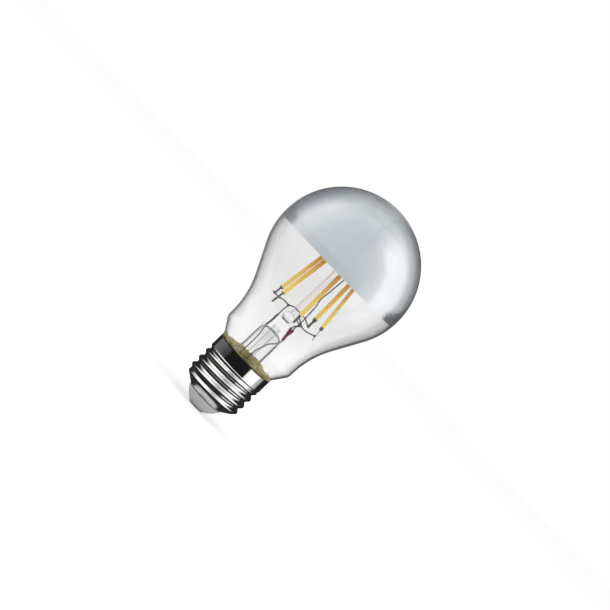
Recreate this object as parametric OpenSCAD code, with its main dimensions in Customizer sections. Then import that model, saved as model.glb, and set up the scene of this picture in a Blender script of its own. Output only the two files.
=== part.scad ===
// Clear lamp with a silvered crown, straight LED filaments and a rolled screw cap.
// Sizes in mm. Z runs up the lamp's axis from the flat of the centre contact to the crown.

/* [Glass] */
// widest diameter of the globe
globe_d = 60; // [56:0.5:66]
// half-angle of the cone between the globe and the neck
taper_deg = 27.5; // [22:0.5:32]
// outside diameter of the neck
neck_d = 33.3; // [31:0.5:36]
// radius of the hollow curve from the cone into the neck
throat_r = 36; // [25:1:42]
// straight length of the neck
neck_len = 0.7; // [0.2:0.1:4]
// radius of the turn below the neck
shoulder_r = 3.9; // [3:0.1:5]
// slope of the shoulder cone, from the axis
shoulder_deg = 34; // [31:0.1:36]
// outside diameter at the sealed foot of the glass
foot_d = 21.5; // [20.8:0.1:21.6]
// wall thickness of the blown glass
glass_wall = 0.7; // [0.5:0.05:1]
// height of the silver's lower edge below the widest line
mirror_drop = 2.4; // [-4:0.1:8]
// thickness of the silver coat
mirror_t = 0.12; // [0.1:0.01:0.3]

/* [Screw cap] */
// diameter over the thread crests
thread_d = 26.05; // [25.8:0.05:26.4]
// depth of the rolled thread from crest to root
thread_depth = 1.15; // [0.8:0.05:1.3]
// rise of the thread in one turn
thread_pitch = 3.629; // [3.4:0.001:3.8]
// height of a crest on the right-hand side above the contact face
thread_start = 2.02; // [1:0.02:3]
// thickness of the cap sheet
sheet_t = 0.3; // [0.25:0.05:0.4]
// height of the collar's top edge above the contact face
cap_h = 26.8; // [26.4:0.1:28]
// height of the collar's plain band
collar_h = 5.6; // [5:0.1:6.4]
// outside diameter of the collar
collar_d = 25.7; // [25.5:0.1:26.2]
// height by which the bead at the collar's foot stands out
bead_h = 0.22; // [0.1:0.02:0.4]
// radius of the turn at the bottom of the shell
base_r = 2.5; // [2:0.1:3]
// slope of the shell's bottom cone, from the axis
base_deg = 55; // [50:1:60]
// diameter of the hole in the shell's bottom
lip_d = 15.2; // [14:0.2:16]
// height of the shell's lip above the contact face
lip_z = 5; // [4.6:0.1:5.6]
// diameter of the insulator's lower face
insulator_d = 8.8; // [8.2:0.2:10]
// diameter of the centre contact
contact_d = 7; // [5:0.2:7.8]
// thickness of the centre contact's head
contact_t = 0.7; // [0.5:0.1:1.2]
// diameter of the contact's shank
shank_d = 2.2; // [1.6:0.2:3]
// height of the cement band up the glass above the collar
cement_h = 1.6; // [1:0.1:2.4]
// thickness of the cement band on the glass
cement_t = 0.3; // [0.2:0.05:0.5]

/* [Stem] */
// outside diameter of the stem tube
stem_d = 10.5; // [9.5:0.1:11.5]
// wall thickness of the stem tube
stem_wall = 0.8; // [0.6:0.1:1]
// height of the stem tube's top above the contact face
stem_top_z = 43.2; // [42:0.1:44]
// height of the flare's upper curve above its foot
flare_h = 4.6; // [4:0.1:5.5]
// width of the pressed glass
press_w = 11.4; // [11.2:0.1:12.4]
// thickness of the pressed glass
press_t = 4; // [3.6:0.1:4.6]
// height of the pressed glass
press_h = 4; // [3.6:0.1:4.4]
// outside diameter of the exhaust tube
exhaust_d = 3.7; // [3.2:0.1:3.9]
// bore of the exhaust tube
exhaust_bore = 2.3; // [1.6:0.1:2.5]
// diameter of the centre rod
rod_d = 1.8; // [1.5:0.1:2.2]
// diameter of the glass bead at the rod's foot
bead_d = 4.6; // [4:0.1:5]
// diameter of the bead that holds the top ring
top_bead_d = 3; // [2.6:0.1:3.4]

/* [Filaments] */
// length of a filament strip without its tabs
strip_len = 38; // [36:0.5:40]
// width of a filament strip
strip_w = 1.8; // [1.4:0.1:2.2]
// thickness of a filament strip
strip_t = 1.5; // [1.2:0.1:1.8]
// height of the strips' lower ends above the contact face
strip_z = 54.4; // [54:0.1:56]
// radius of the circle that the strips' lower ends stand on
strip_foot_r = 12.2; // [11.6:0.1:12.6]
// radius of the circle that the strips' upper ends meet
strip_head_r = 6.5; // [6.3:0.1:7]
// distance by which the top ring sits to the right of the axis
ring_shift = 0.9; // [0:0.1:1.2]
// width of a filament's end tab
tab_w = 0.9; // [0.7:0.05:1.1]
// thickness of a filament's end tab
tab_t = 0.25; // [0.15:0.05:0.3]

/* [Wires] */
// diameter of the mount wires
wire_d = 0.5; // [0.4:0.05:0.7]
// diameter of the left seal
left_seal_d = 1.1; // [0.8:0.1:1.4]
// diameter of the right seal, which takes two wires
right_seal_d = 1.9; // [1.7:0.1:2.1]
// distance of the left seal from the stem's axis
left_seal_x = 3.5; // [3.3:0.1:3.7]
// distance of the right seal from the stem's axis
right_seal_x = 4.3; // [4.2:0.1:4.4]

/* [Driver] */
// width of the driver board
board_w = 15; // [13:0.5:16]
// height of the driver board
board_h = 11.5; // [10.5:0.5:12]
// thickness of the driver board
board_t = 1; // [0.8:0.1:1.6]
// diameter of the smoothing capacitor
capacitor_d = 6.3; // [5:0.1:6.5]
// length of the smoothing capacitor
capacitor_len = 8; // [7:0.5:9]
// diameter of the inductor
inductor_d = 4.6; // [4:0.2:5]
// height of the inductor
inductor_h = 4.5; // [4:0.5:6]
// diameter of the fusible resistor
resistor_d = 2.4; // [2:0.1:2.6]
// length of the fusible resistor
resistor_len = 6; // [5:0.5:6.5]

/* [Hidden] */

$fn = 48;
// gap left between pieces that are fused, welded or seated
seat = 0.05;
wire_r = wire_d / 2;

// glass outline, from the foot up
globe_r = globe_d / 2;
neck_r = neck_d / 2;
foot_r = foot_d / 2;
// depth of the glass foot below the collar's top edge
foot_sink = 2.2;
foot_z = cap_h - foot_sink;
shoulder_z = foot_z + (neck_r - shoulder_r * (1 - cos(shoulder_deg)) - foot_r) / tan(shoulder_deg);
neck_z = shoulder_z + shoulder_r * sin(shoulder_deg);
throat_z = neck_z + neck_len;
globe_rise = (throat_r * (1 - cos(taper_deg)) + globe_r - neck_r * cos(taper_deg)) / sin(taper_deg);
globe_z = throat_z + globe_rise;

// points round an arc about [cx, cz], from angle a0 to a1, where 0 points outward
function arc(cx, cz, r, a0, a1, n) =
  [for (i = [0:n]) [cx + r * cos(a0 + (a1 - a0) * i / n), cz + r * sin(a0 + (a1 - a0) * i / n)]];

// the glass outline set inward by d
function glass_line(d) = concat(
  [[foot_r - d / cos(shoulder_deg), foot_z]],
  arc(neck_r - shoulder_r, neck_z, shoulder_r - d, -shoulder_deg, 0, 6),
  arc(neck_r + throat_r, throat_z, throat_r + d, 180, 180 - taper_deg, 10),
  arc(0, globe_z, globe_r - d, -taper_deg, 90, 44));

function reversed(list) = [for (i = [len(list) - 1:-1:0]) list[i]];

module glass_envelope() {
  color([0.9, 0.93, 0.95, 0.3])
  rotate_extrude()
  polygon(concat(glass_line(0), reversed(glass_line(glass_wall))));
}

// the coat lies on the inside of the glass, from its edge to the apex
module mirror_crown() {
  coat_r = globe_r - glass_wall - seat;
  edge = -asin(mirror_drop / coat_r);
  color([0.75, 0.76, 0.78])
  rotate_extrude()
  polygon(concat(
    arc(0, globe_z, coat_r, edge, 90, 44),
    reversed(arc(0, globe_z, coat_r - mirror_t, edge, 90, 44))));
}

// the flare's foot follows the inside of the glass foot
stem_r = stem_d / 2;
stem_bore = stem_r - stem_wall;
// thickness of the flare's rim
rim_t = 1;
flare_r = foot_r - glass_wall / cos(shoulder_deg) - seat;
press_z = stem_top_z - rim_t;
press_top = stem_top_z + press_h;
exhaust_r = exhaust_d / 2;
// height of the exhaust tube's sealed tip above the contact face
exhaust_z = 23.4;

// outline of the flare's outside, a hollow curve from the rim up to the tube
function flare_line(d) = [for (i = [0:8])
  [stem_r - d + (flare_r - stem_r) * (1 - sin(i * 90 / 8)), foot_z + rim_t + flare_h * (1 - cos(i * 90 / 8))]];

module stem_flare() {
  color([0.9, 0.93, 0.95, 0.3])
  difference() {
    union() {
      rotate_extrude()
      polygon(concat(
        [[flare_r, foot_z]],
        flare_line(0),
        [[stem_r, stem_top_z - 1.4], [stem_r - 1.4, stem_top_z], [0, stem_top_z], [0, press_z - rim_t]],
        [[stem_bore - 1, press_z - rim_t], [stem_bore, press_z - 2 * rim_t]],
        [for (p = reversed(flare_line(stem_wall))) [p[0], p[1] - rim_t]],
        [[flare_r - stem_wall, foot_z]]));
      translate([0, 0, press_z])
      linear_extrude(press_top - press_z)
      union() {
        square([press_w - press_t, press_t], center = true);
        for (side = [-1, 1])
          translate([side * (press_w - press_t) / 2, 0])
          circle(d = press_t);
      }
    }
    translate([-left_seal_x, 0, press_z - 3 * rim_t])
    cylinder(h = press_h + 6 * rim_t, d = left_seal_d + 2 * seat);
    translate([right_seal_x, 0, press_z - 3 * rim_t])
    cylinder(h = press_h + 6 * rim_t, d = right_seal_d + 2 * seat);
    translate([0, 0, press_z - 3 * rim_t])
    cylinder(h = 3 * rim_t + 0.6, r = exhaust_r + seat);
  }
}

module exhaust_tube() {
  color([0.9, 0.93, 0.95, 0.3])
  rotate_extrude()
  polygon([
    [0.4, exhaust_z],
    [exhaust_r, exhaust_z + 2],
    [exhaust_r, press_z + 0.6 - seat],
    [exhaust_bore / 2, press_z + 0.6 - seat],
    [exhaust_bore / 2, exhaust_z + 2.4],
    [0, exhaust_z + 1.2],
    [0, exhaust_z]
  ]);
}

// the bead stands on the press with a small flat
bead_r = bead_d / 2;
bead_flat = 1.4;
bead_z = press_top + seat + sqrt(bead_r * bead_r - bead_flat * bead_flat);
rod_r = rod_d / 2;
bead_foot_deg = acos(bead_flat / bead_r);
bead_top_deg = acos(rod_r / bead_r);
top_bead_r = top_bead_d / 2;
top_bead_deg = acos(rod_r / top_bead_r);
// height of the ring above the strips' upper ends
ring_rise = 1.5;
head_z = strip_z + sqrt(strip_len * strip_len - pow(strip_foot_r - strip_head_r, 2));
ring_z = head_z + ring_rise;

module centre_rod() {
  color([0.9, 0.93, 0.95, 0.3])
  difference() {
    rotate_extrude()
    polygon(concat(
      [[0, press_top + seat]],
      arc(0, bead_z, bead_r, -bead_foot_deg, bead_top_deg, 14),
      arc(0, ring_z, top_bead_r, -top_bead_deg, 90, 12)));
    translate([0, 0, ring_z])
    rotate([0, 90, 0])
    cylinder(h = 2 * top_bead_d, r = wire_r + seat, center = true);
  }
}

module left_seal() {
  color([0.35, 0.12, 0.1])
  translate([-left_seal_x, 0, press_z - rim_t + seat])
  cylinder(h = press_top - press_z + rim_t - 2 * seat, d = left_seal_d);
}

module right_seal() {
  color([0.35, 0.12, 0.1])
  translate([right_seal_x, 0, press_z - rim_t + seat])
  cylinder(h = press_top - press_z + rim_t - 2 * seat, d = right_seal_d);
}

// a wire is one swept solid; its path turns each corner in a short curve
function unit(v) = v / norm(v);
// number of sides of a wire, and length of path that a corner's curve takes up
wire_n = 10;
corner = 1.2;
function path_at(p, i) = let (
    back = p[i - 1] - p[i],
    on = p[i + 1] - p[i],
    d = min(corner, 0.45 * norm(back), 0.45 * norm(on))
  )
  [for (u = [0:3]) p[i] + pow(1 - u / 3, 2) * d * unit(back) + pow(u / 3, 2) * d * unit(on)];
function path(p) = len(p) < 3 ? p : concat(
  [p[0]],
  [for (i = [1:len(p) - 2]) each path_at(p, i)],
  [p[len(p) - 1]]);

// direction of the path at each of its points
function heading(p, i) = unit(p[min(i + 1, len(p) - 1)] - p[max(i - 1, 0)]);
// one side of the wire, carried along the path without twisting
function side_at(p, i) = i == 0
  ? unit(cross(heading(p, 0), abs(heading(p, 0)[2]) > 0.9 ? [1, 0, 0] : [0, 0, 1]))
  : let (before = side_at(p, i - 1)) unit(before - (before * heading(p, i)) * heading(p, i));

module bent_wire(points) {
  line = path(points);
  last = len(line) - 1;
  skin = [for (i = [0:last])
    let (across = side_at(line, i), up = cross(heading(line, i), across))
    for (k = [0:wire_n - 1])
    line[i] + wire_r * (cos(360 * k / wire_n) * across + sin(360 * k / wire_n) * up)];
  sides = [for (i = [0:last - 1]) for (k = [0:wire_n - 1])
    let (
      a = i * wire_n + k,
      b = i * wire_n + (k + 1) % wire_n
    )
    each [[a, a + wire_n, b + wire_n], [a, b + wire_n, b]]];
  ends = [[for (k = [0:wire_n - 1]) k], [for (k = [wire_n - 1:-1:0]) last * wire_n + k]];
  polyhedron(points = skin, faces = concat(sides, ends), convexity = 10);
}

// where each filament stands and where it meets the top, seen from above
strip_foot_deg = [146, 229.9, 282.6, 49.2, 349, 77];
strip_head_deg = [162, 226, 279.4, 29, 343.4, 80];
// distance by which a strip hangs lower than the rest
strip_low = [0, 0, 1.3, 0, 0, 0];
// length of each lower tab; the longer ones run on past their wire
tab_reach = [3.4, 5, 3.3, 3.4, 4.8, 3.4];
top_tab = 2.1;
// usual distance below a strip at which its wire crosses the tab, and that of each strip
tab_drop = 2.9;
weld_drop = [tab_drop, 0.7 * tab_drop, tab_drop - strip_low[2], tab_drop, tab_drop, tab_drop];

function strip_foot(i) = [
  strip_foot_r * cos(strip_foot_deg[i]),
  strip_foot_r * sin(strip_foot_deg[i]),
  strip_z - strip_low[i]
];
function strip_head(i) = [
  ring_shift + strip_head_r * cos(strip_head_deg[i]),
  strip_head_r * sin(strip_head_deg[i]),
  head_z - strip_low[i]
];
function strip_way(i) = strip_head(i) - strip_foot(i);
function strip_lean(i) = acos(strip_way(i)[2] / norm(strip_way(i)));
function strip_turn(i) = atan2(strip_way(i)[1], strip_way(i)[0]);

// a point given in a filament's own frame: in towards the axis, and along the strip
function by_strip(i, inward, along) = strip_foot(i)
  + inward * [cos(strip_lean(i)) * cos(strip_turn(i)), cos(strip_lean(i)) * sin(strip_turn(i)), -sin(strip_lean(i))]
  + along * strip_way(i) / norm(strip_way(i));

// the point on the wire that lies against a filament's lower tab
function weld(i) = by_strip(i, tab_t / 2 + 2 * seat + wire_r, -weld_drop[i]);
// a point beside a weld, so that the wire runs straight across the tab
function beside(i, way) = weld(i) + way * [-sin(strip_turn(i)), cos(strip_turn(i)), 0];

module on_strip(i) {
  translate(strip_foot(i))
  rotate([0, strip_lean(i), strip_turn(i)])
  children();
}

module strip(i) {
  color([0.95, 0.68, 0.15])
  on_strip(i)
  linear_extrude(strip_len)
  union() {
    square([strip_t, strip_w - strip_t], center = true);
    for (side = [-1, 1])
      translate([0, side * (strip_w - strip_t) / 2])
      circle(d = strip_t);
  }
}

module filament_1() {
  strip(0);
}

module filament_2() {
  strip(1);
}

module filament_3() {
  strip(2);
}

module filament_4() {
  strip(3);
}

module filament_5() {
  strip(4);
}

module filament_6() {
  strip(5);
}

module filament_tabs() {
  color([0.55, 0.54, 0.52])
  for (i = [0:5])
    on_strip(i) {
      translate([-tab_t / 2, -tab_w / 2, -tab_reach[i]])
      cube([tab_t, tab_w, tab_reach[i] - seat]);
      translate([-tab_t / 2, -tab_w / 2, strip_len + seat])
      cube([tab_t, tab_w, top_tab + strip_low[i]]);
    }
}

// knots where the leads are welded to the cross wires
left_knot = [wire_r - left_seal_x, -0.066 * strip_foot_r, strip_z - 0.655 * tab_drop];
right_knot = [right_seal_x + 0.082 * strip_foot_r, -0.328 * strip_foot_r, strip_z - 1.345 * tab_drop];

module back_cross_wire() {
  color([0.3, 0.3, 0.29])
  bent_wire([
    beside(0, 0.6),
    beside(0, -0.7),
    [-0.92 * strip_foot_r, 0, strip_z - 0.862 * tab_drop],
    beside(1, -0.7),
    beside(1, 0.7),
    [-0.46 * strip_foot_r, -0.36 * strip_foot_r, strip_z - 0.552 * tab_drop],
    left_knot,
    [-0.098 * strip_foot_r, 0.23 * strip_foot_r, strip_z - 0.345 * tab_drop],
    [0.098 * strip_foot_r, 0.295 * strip_foot_r, strip_z - 0.345 * tab_drop],
    [0.41 * strip_foot_r, 0.574 * strip_foot_r, strip_z - 0.483 * tab_drop],
    weld(3)
  ]);
}

module front_cross_wire() {
  color([0.3, 0.3, 0.29])
  bent_wire([
    weld(2),
    [right_seal_x, -0.656 * strip_foot_r, strip_z - 1.207 * tab_drop],
    right_knot,
    [right_seal_x + 0.328 * strip_foot_r, -0.279 * strip_foot_r, strip_z - 1.414 * tab_drop],
    weld(4)
  ]);
}

// the branch is welded beside the knot and runs back to the sixth filament
module front_branch_wire() {
  color([0.3, 0.3, 0.29])
  bent_wire([
    [right_knot[0] + 2 * wire_r, right_knot[1] + 2 * wire_r + 3 * seat, right_knot[2] + 2 * seat],
    [right_seal_x + 0.172 * strip_foot_r, 0, strip_z - 1.448 * tab_drop],
    [right_seal_x + 0.131 * strip_foot_r, 0.492 * strip_foot_r, strip_z - 1.448 * tab_drop],
    weld(5)
  ]);
}

// a lead stops under the wire that it is welded to, which curves up a little at its knot
knot_rise = 0.1;

module left_lead() {
  color([0.3, 0.3, 0.29])
  bent_wire([
    [-left_seal_x, 0, press_top + seat],
    [-left_seal_x, -4 * seat, left_knot[2] - 0.759 * tab_drop],
    [left_knot[0], left_knot[1], left_knot[2] + knot_rise - 2 * wire_r - seat]
  ]);
}

module right_lead() {
  color([0.3, 0.3, 0.29])
  bent_wire([
    [right_seal_x - 0.4, -0.5, press_top + seat],
    [right_seal_x - 0.4, -0.8, press_top + 1],
    [right_knot[0] - 0.2, right_knot[1] + 0.4, right_knot[2] - 2 * wire_r - seat]
  ]);
}

// radius of the ring's centre line, just inside the upper tabs
ring_r = strip_head_r - 0.15 * ring_rise - tab_t / 2 - wire_r - 5 * seat;

module top_ring() {
  color([0.3, 0.3, 0.29])
  union() {
    translate([ring_shift, 0, ring_z])
    rotate_extrude()
    translate([ring_r, 0])
    circle(r = wire_r);
    translate([ring_shift - ring_r, 0, ring_z])
    rotate([0, 90, 0])
    cylinder(h = 2 * ring_r, r = wire_r);
  }
}

// distance of the riser behind the axis
riser_y = 1.5;

// the riser's kinks, as shares of the strips' length above their lower ends
module riser_wire() {
  color([0.3, 0.3, 0.29])
  bent_wire([
    [right_seal_x + 0.4, 0.5, press_top + seat],
    [right_seal_x + 0.6, riser_y - 4 * seat, strip_z - 0.69 * tab_drop],
    [right_seal_x + 0.1, riser_y, strip_z + 0.14 * strip_len],
    [right_seal_x - 0.7, riser_y, strip_z + 0.208 * strip_len],
    [right_seal_x - 0.3, riser_y, strip_z + 0.316 * strip_len],
    [right_seal_x + 0.2, riser_y, strip_z + 0.521 * strip_len],
    [ring_shift + sqrt(ring_r * ring_r - riser_y * riser_y), riser_y, ring_z - 2 * wire_r - seat]
  ]);
}

// height of the board's top edge above the contact face
board_top = 21.6;
board_z = board_top - board_h;
face_y = board_t / 2 + seat;

// the feed wires leave the seals straight down, then run beside the exhaust tube
left_feed_x = 0.105 * stem_r - left_seal_x;
tube_len = press_z - foot_z;

module left_feed_wire() {
  color([0.6, 0.42, 0.3])
  bent_wire([
    [-left_seal_x, 0, press_z - rim_t - seat],
    [-left_seal_x, 0, press_z - 2 * rim_t],
    [left_feed_x, -wire_r, press_z - 0.34 * tube_len],
    [left_feed_x, -wire_r, board_top + 0.28 * tube_len],
    [left_feed_x, -face_y - wire_r, board_top + 1.2],
    [left_feed_x, -face_y - wire_r, board_top - 1.2]
  ]);
}

module right_feed_wire() {
  color([0.6, 0.42, 0.3])
  bent_wire([
    [right_seal_x, 0, press_z - rim_t - seat],
    [right_seal_x, 0, press_z - 2 * rim_t],
    [right_seal_x - 0.095 * stem_r, -0.152 * stem_r, press_z - 0.205 * tube_len],
    [right_seal_x - 0.419 * stem_r, -0.381 * stem_r, press_z - 0.301 * tube_len],
    [right_seal_x - 0.581 * stem_r, -0.495 * stem_r, press_z - 0.455 * tube_len],
    [right_seal_x - 0.743 * stem_r, -0.533 * stem_r, press_z - 0.625 * tube_len],
    [right_seal_x - 0.743 * stem_r, -0.533 * stem_r, board_top + 0.17 * tube_len],
    [1.8, -face_y - wire_r, board_top + 0.8],
    [1.8, -face_y - wire_r, board_top - 1.2]
  ]);
}

// rolled screw shell: one thin sheet, with the thread on both of its skins
crest_r = thread_d / 2;
mean_r = crest_r - thread_depth / 2;
collar_r = collar_d / 2;
lip_r = lip_d / 2;
collar_z = cap_h - collar_h;
turn_in = base_r * (1 - cos(base_deg));
cone_h = (mean_r - turn_in - lip_r) / tan(base_deg);
base_z = lip_z + cone_h + base_r * sin(base_deg);
// number of points round the shell and of levels along its threaded part
shell_n = 40;
level_n = 29;
// height over which the thread dies away at each end
fade_low = 2;
fade_high = 1.3;

// each level is [radius, height, slope of the sheet]
function shell_levels() = concat(
  [for (i = [0:2]) [lip_r + (mean_r - turn_in - lip_r) * i / 3, lip_z + cone_h * i / 3, base_deg]],
  [for (i = [0:3])
    let (slope = base_deg * (1 - i / 4))
    [mean_r - base_r * (1 - cos(slope)), base_z - base_r * sin(slope), slope]],
  [for (i = [0:level_n]) [mean_r, base_z + (collar_z - 0.5 - base_z) * i / level_n, 0]],
  [
    [collar_r, collar_z - 0.1, 0],
    [collar_r + bead_h, collar_z + 0.25, 0],
    [collar_r + bead_h, collar_z + 0.65, 0],
    [collar_r, collar_z + 1, 0],
    [collar_r, cap_h - 0.5, 0],
    [collar_r + 0.12, cap_h, 0]
  ]);

function thread_in(z) = max(0, min(1, (z - base_z + fade_low) / fade_low, (collar_z - 0.3 - z) / fade_high));
function thread_at(z, turn) = thread_depth / 2 * thread_in(z) * cos(turn - 360 * (z - thread_start) / thread_pitch);

function shell_row(level, d) = [for (k = [0:shell_n - 1])
  let (
    turn = 360 * k / shell_n,
    r = level[0] - d * cos(level[2]) + thread_at(level[1], turn)
  )
  [r * cos(turn), r * sin(turn), level[1] + d * sin(level[2])]];

module screw_shell() {
  levels = shell_levels();
  n = len(levels);
  rows = concat(
    [for (i = [0:n - 1]) shell_row(levels[i], 0)],
    [for (i = [n - 1:-1:0]) shell_row(levels[i], sheet_t)]);
  points = [for (row = rows) for (p = row) p];
  faces = [for (j = [0:2 * n - 1]) for (k = [0:shell_n - 1])
    let (
      a = j * shell_n + k,
      b = j * shell_n + (k + 1) % shell_n,
      c = (j + 1) % (2 * n) * shell_n + (k + 1) % shell_n,
      d = (j + 1) % (2 * n) * shell_n + k
    )
    each [[a, c, b], [a, d, c]]];
  color([0.78, 0.78, 0.79])
  polyhedron(points = points, faces = faces, convexity = 10);
}

// the insulator fills the shell's hole and steps out under its lip
plug_r = lip_r - sheet_t - 2 * seat;
plug_z = lip_z + 2.2;
shank_r = shank_d / 2;

module cap_insulator() {
  color([0.66, 0.66, 0.65])
  rotate_extrude()
  polygon([
    [shank_r + seat, contact_t + seat],
    [insulator_d / 2, contact_t + seat],
    [lip_r + 0.3, lip_z - 0.5],
    [lip_r + 0.3, lip_z - seat],
    [plug_r, lip_z - seat],
    [plug_r, plug_z],
    [shank_r + seat, plug_z]
  ]);
}

module centre_contact() {
  color([0.8, 0.8, 0.79])
  rotate_extrude()
  polygon([
    [0, 0],
    [contact_d / 2 - 0.3, 0],
    [contact_d / 2, 0.3],
    [contact_d / 2, contact_t],
    [shank_r, contact_t],
    [shank_r, plug_z + 0.8],
    [0, plug_z + 0.8]
  ]);
}

// the cement fills the gap between the glass foot and the collar, and a band above it
function shoulder_at(z) = foot_r + (z - foot_z) * tan(shoulder_deg);
cement_r = collar_r - sheet_t - 2 * seat;
cement_foot = foot_z - 2.5;
// width of the ring below the glass foot
cement_w = 1.8;

module capping_cement() {
  color([0.55, 0.5, 0.28])
  rotate_extrude()
  polygon([
    [cement_r - cement_w, cement_foot],
    [cement_r, cement_foot],
    [cement_r, cap_h + seat],
    [max(collar_r, shoulder_at(cap_h) + cement_t), cap_h + seat],
    [shoulder_at(cap_h + cement_h) + cement_t, cap_h + cement_h],
    [shoulder_at(cap_h + cement_h) + seat, cap_h + cement_h],
    [shoulder_at(foot_z - seat) + seat, foot_z - seat],
    [cement_r - cement_w, foot_z - seat]
  ]);
}

module driver_board() {
  color([0.2, 0.4, 0.25])
  translate([-board_w / 2, -board_t / 2, board_z])
  cube([board_w, board_t, board_h]);
}

// a flat package with its legs reaching down to the board, on the back of the board
module package(w, h, t, legs, pitch) {
  translate([-w / 2, 0.2, -h / 2])
  cube([w, t, h]);
  for (i = [0:legs - 1])
    for (side = [-1, 1])
      translate([(i - (legs - 1) / 2) * pitch - 0.2, 0, side * (h / 2 + 0.4) - 0.6])
      cube([0.4, 0.7, 1.2]);
}

module bridge_rectifier() {
  color([0.12, 0.12, 0.13])
  translate([-3.6, face_y, board_z + 4])
  package(4.7, 3.8, 2.3, 2, 2.5);
}

module driver_ic() {
  color([0.12, 0.12, 0.13])
  translate([1.8, face_y, board_z + 7.5])
  package(4, 3.6, 1.5, 3, 1.27);
}

module smoothing_capacitor() {
  color([0.15, 0.15, 0.2])
  translate([-6.6, -face_y - capacitor_d / 2, board_z + capacitor_d / 2 + 0.8])
  rotate([0, 90, 0])
  cylinder(h = capacitor_len, d = capacitor_d);
}

module inductor() {
  color([0.25, 0.22, 0.2])
  translate([4.6, -face_y, board_z + inductor_d / 2 + 2.4])
  rotate([90, 0, 0])
  union() {
    cylinder(h = inductor_h, d = inductor_d - 1);
    cylinder(h = 0.8, d = inductor_d);
    translate([0, 0, inductor_h - 0.8])
    cylinder(h = 0.8, d = inductor_d);
  }
}

// the resistor stands behind the board; its lower wire reaches the contact's shank
resistor_x = 4.6;
resistor_y = 4.6;
resistor_z = board_z + 1.2;

module fusible_resistor() {
  color([0.55, 0.75, 0.8])
  translate([resistor_x, resistor_y, resistor_z])
  cylinder(h = resistor_len, d = resistor_d);
}

module contact_wire() {
  color([0.6, 0.42, 0.3])
  bent_wire([
    [resistor_x, resistor_y, resistor_z - seat],
    [resistor_x, resistor_y, board_z - 0.8],
    [0.5, shank_r + wire_r + 2 * seat, plug_z + 0.5],
    [-0.5, shank_r + wire_r + 2 * seat, plug_z + 0.5]
  ]);
}

module resistor_wire() {
  color([0.6, 0.42, 0.3])
  bent_wire([
    [resistor_x, resistor_y, resistor_z + resistor_len + seat],
    [resistor_x, resistor_y, resistor_z + resistor_len + 1.4],
    [resistor_x + 2 * wire_r, face_y + wire_r, resistor_z + resistor_len + 1.8],
    [resistor_x + 2 * wire_r, face_y + wire_r, resistor_z + resistor_len + 0.6]
  ]);
}

// this wire joins the board to the inside of the thread, below the cement
root_r = crest_r - thread_depth - sheet_t;

module shell_wire() {
  color([0.6, 0.42, 0.3])
  bent_wire([
    [board_w / 2 - 1, -face_y - wire_r, board_top - 2.4],
    [board_w / 2 - 1, -face_y - wire_r, cement_foot - 4 * wire_r],
    [root_r - 3 * wire_r, -0.7, cement_foot - 4 * wire_r],
    [root_r - wire_r - 2 * seat, -0.6, cement_foot - 2 * cement_w]
  ]);
}

glass_envelope();
mirror_crown();
stem_flare();
exhaust_tube();
centre_rod();
left_seal();
right_seal();
left_lead();
right_lead();
left_feed_wire();
right_feed_wire();
back_cross_wire();
front_cross_wire();
front_branch_wire();
riser_wire();
top_ring();
filament_1();
filament_2();
filament_3();
filament_4();
filament_5();
filament_6();
filament_tabs();
screw_shell();
cap_insulator();
centre_contact();
capping_cement();
driver_board();
bridge_rectifier();
driver_ic();
smoothing_capacitor();
inductor();
fusible_resistor();
contact_wire();
resistor_wire();
shell_wire();
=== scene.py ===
import math

import bmesh
import bpy
from mathutils import Matrix, Vector


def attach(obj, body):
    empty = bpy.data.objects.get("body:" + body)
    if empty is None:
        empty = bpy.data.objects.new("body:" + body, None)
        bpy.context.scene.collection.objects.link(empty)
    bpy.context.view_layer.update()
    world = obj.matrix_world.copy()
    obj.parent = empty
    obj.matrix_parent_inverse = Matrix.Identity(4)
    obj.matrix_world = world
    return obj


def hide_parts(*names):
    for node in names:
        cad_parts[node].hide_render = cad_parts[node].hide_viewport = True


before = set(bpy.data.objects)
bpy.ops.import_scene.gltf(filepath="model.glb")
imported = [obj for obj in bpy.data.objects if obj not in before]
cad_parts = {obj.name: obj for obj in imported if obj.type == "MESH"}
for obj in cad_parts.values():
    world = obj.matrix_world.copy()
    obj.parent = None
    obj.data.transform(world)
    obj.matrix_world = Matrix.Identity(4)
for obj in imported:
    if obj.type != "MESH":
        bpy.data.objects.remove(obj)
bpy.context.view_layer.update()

scene = bpy.context.scene
scene.view_settings.view_transform = "Standard"

camera_data = bpy.data.cameras.new("camera")
camera_data.lens = 95.6
camera_data.sensor_width = 36.0
camera_data.clip_start = 0.01
camera = bpy.data.objects.new("camera", camera_data)
scene.collection.objects.link(camera)
eye = Vector((0.0, -0.613, 0.0864))
aim = Vector((0.00104, 0.0, 0.05679))
ahead = (aim - eye).normalized()
level = ahead.cross(Vector((0, 0, 1))).normalized()
upright = level.cross(ahead)
roll = math.radians(46.18)
image_up = math.cos(roll) * upright - math.sin(roll) * level
image_right = math.cos(roll) * level + math.sin(roll) * upright
camera.matrix_world = Matrix.Translation(eye) @ Matrix((image_right, image_up, -ahead)).transposed().to_4x4()
scene.camera = camera


def calc(tree, operation, a, b=None):
    """One Math node; a and b are numbers or sockets."""
    node = tree.nodes.new("ShaderNodeMath")
    node.operation = operation
    for slot, value in enumerate((a, b)):
        if isinstance(value, (int, float)):
            node.inputs[slot].default_value = value
        elif value is not None:
            tree.links.new(value, node.inputs[slot])
    return node.outputs[0]


def shades(tree, fac, stops, spread="EASE"):
    """A colour ramp from a list of (position, grey or colour)."""
    node = tree.nodes.new("ShaderNodeValToRGB")
    ramp = node.color_ramp
    ramp.interpolation = spread
    while len(ramp.elements) < len(stops):
        ramp.elements.new(0.5)
    for element, (place, colour) in zip(ramp.elements, stops):
        element.position = place
        element.color = (*colour, 1) if isinstance(colour, tuple) else (colour, colour, colour, 1)
    tree.links.new(fac, node.inputs["Fac"])
    return node.outputs["Color"]


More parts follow.
